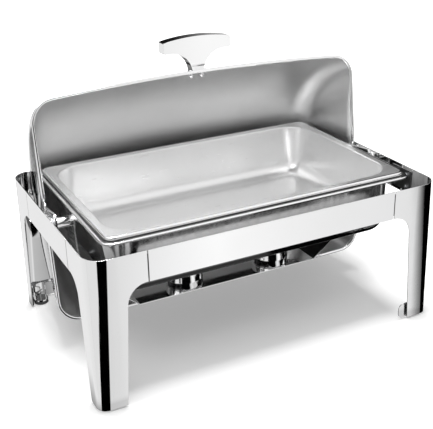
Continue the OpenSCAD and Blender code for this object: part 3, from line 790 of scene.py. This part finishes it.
def glossy_switch(kit, plain, glossy):
    """One shader for most rays, another for glossy ones."""
    path = kit.add("ShaderNodeLightPath")
    mix = kit.add("ShaderNodeMixShader", {
        0: path.outputs["Is Glossy Ray"], 1: plain.outputs[0], 2: glossy.outputs[0]})
    return mix.outputs[0]


def build_world():
    world = bpy.data.worlds.new("studio")
    scene.world = world
    world.use_nodes = True
    kit = ShaderNodes(world.node_tree)
    direction = kit.add("ShaderNodeTexCoord").outputs["Generated"]
    cards = kit.add("ShaderNodeBackground", {"Color": studio(kit, direction)})
    plain = kit.add("ShaderNodeBackground", {"Color": (1, 1, 1, 1), "Strength": 0.55})
    kit.add("ShaderNodeOutputWorld", {0: glossy_switch(kit, plain, cards)})


def floor_paper():
    """Matt paper that glows more with distance; glossy rays see the studio in it."""
    mat = Material("floor_paper")
    calc = mat.calc
    color = mat.ramp(mat.noise(scale=40), [(0.3, grey(0.79)), (0.7, grey(0.81))])
    mat.fill(mat.shader, {"Roughness": 1.0, "Specular IOR Level": 0.0, "Base Color": color})
    away = mat.add("ShaderNodeVectorMath", {0: mat.coords}, operation="LENGTH").outputs["Value"]
    glow = mat.map_range(away, (0.27, 0.75), source=(0.7, 1.6), smooth=True)
    fill = mat.add("ShaderNodeEmission", {"Strength": glow})
    paper = mat.add("ShaderNodeAddShader", {0: mat.shader.outputs[0], 1: fill.outputs[0]})

    geometry = mat.add("ShaderNodeNewGeometry")
    ray = mat.add("ShaderNodeVectorMath", {0: geometry.outputs["Incoming"], "Scale": -1.0},
                  operation="SCALE").outputs[0]
    position = mat.split(geometry.outputs["Position"])
    seen = studio(mat, ray, position[0])
    # painted shadow: the floor under the dish (half sizes in metres) stays dim in reflections
    outside = []
    for axis, half_size in ((0, 0.29), (1, 0.18)):
        beyond = calc("SUBTRACT", calc("ABSOLUTE", position[axis]), half_size)
        outside.append(calc("MAXIMUM", beyond, 0.0))
    squares = [calc("MULTIPLY", value, value) for value in outside]
    distance = calc("SQRT", calc("ADD", *squares))
    painted_floor_shadow = mat.map_range(distance, (0.14, 1.0), source=(0.0, 0.05), smooth=True)
    # rays heading to the front see it at no less than 0.8
    forward = calc("MULTIPLY", calc("LESS_THAN", mat.split(ray)[1], -0.3), 0.8)
    brightness = calc("MULTIPLY", seen, calc("MAXIMUM", painted_floor_shadow, forward))
    reflected = mat.add("ShaderNodeEmission", {"Color": brightness})
    mat.fill(mat.output, {0: glossy_switch(mat, paper, reflected)})
    return mat.data


def build_floor(half=6.0):
    mesh = bpy.data.meshes.new("floor")
    corners = [(-half, -half, 0), (half, -half, 0), (half, half, 0), (-half, half, 0)]
    mesh.from_pydata(corners, [], [(0, 1, 2, 3)])
    floor = bpy.data.objects.new("floor", mesh)
    floor.location.z = -0.0006
    scene.collection.objects.link(floor)
    mesh.materials.append(floor_paper())


def area_light(name, location, target, size, power):
    light = bpy.data.lights.new(name, "AREA")
    light.shape = "RECTANGLE"
    light.size, light.size_y = size
    light.energy = power
    obj = bpy.data.objects.new(name, light)
    scene.collection.objects.link(obj)
    obj.location = location
    obj.rotation_mode = "QUATERNION"
    aim = Vector(target) - Vector(location)
    obj.rotation_quaternion = aim.to_track_quat("-Z", "Y")


def build_camera():
    """Camera in front of the dish to the left, looking down at it."""
    azimuth, elevation, roll = (math.radians(a) for a in (-26.69, 23.84, -1.23))
    distance = 1.4523
    target = Vector((-0.0081, 0, 0.1825))
    back = Vector((math.sin(azimuth) * math.cos(elevation),
                   -math.cos(azimuth) * math.cos(elevation), math.sin(elevation)))
    forward = -back
    right = forward.cross(Vector((0, 0, 1))).normalized()
    up = right.cross(forward)
    rolled_right = right * math.cos(roll) + up * math.sin(roll)
    rolled_up = -right * math.sin(roll) + up * math.cos(roll)
    data = bpy.data.cameras.new("camera")
    data.sensor_width = 36
    data.lens = 69.988
    data.clip_start, data.clip_end = 0.05, 50
    camera = bpy.data.objects.new("camera", data)
    scene.collection.objects.link(camera)
    turn = Matrix((rolled_right, rolled_up, back)).transposed().to_4x4()
    camera.matrix_world = Matrix.Translation(target + back * distance) @ turn
    scene.camera = camera


def render_settings():
    view = scene.view_settings
    view.view_transform = "Standard"
    view.look = "None"
    view.exposure = 0
    view.gamma = 1
    cycles = scene.cycles
    cycles.max_bounces = 14
    cycles.glossy_bounces = 12
    cycles.diffuse_bounces = 3
    cycles.caustics_reflective = False
    cycles.caustics_refractive = False
    cycles.sample_clamp_indirect = 6
    cycles.use_denoising = True


build_world()
build_floor()
area_light("key_softbox", location=(-0.9, -0.7, 2.2), target=(0, 0, 0.1),
           size=(1.6, 1.2), power=12)
area_light("top_softbox", location=(0.0, 0.15, 2.7), target=(0, 0.1, 0),
           size=(0.9, 0.9), power=95)
build_camera()
render_settings()
